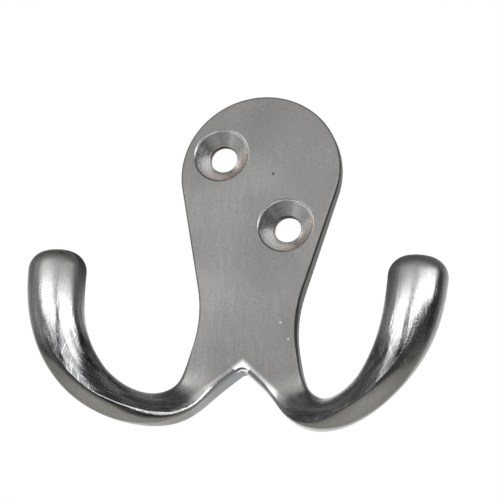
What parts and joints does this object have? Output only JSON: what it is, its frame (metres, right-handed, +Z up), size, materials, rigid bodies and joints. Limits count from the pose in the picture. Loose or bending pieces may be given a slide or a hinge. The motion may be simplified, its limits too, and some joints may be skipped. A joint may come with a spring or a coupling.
{
  "type": "double robe hook",
  "caption": "Satin plated cast wall hook: a pear-shaped plate with diagonal countersunk screw holes that divides into upswept round-tipped arms, for hanging robes, coats or bags.",
  "frame": {"origin": "centre of the plate's round head, on the wall face", "axes": "+X right as seen from the front, +Y into the wall, +Z up"},
  "size_m": [0.0744, 0.021, 0.0644],
  "materials": {
    "satin_plated_metal": "satin plate, linished arms"
  },
  "bodies": {
    "root": {"back_plate": "satin_plated_metal", "left_hook_arm": "satin_plated_metal", "right_hook_arm": "satin_plated_metal"}
  },
  "joints": []
}
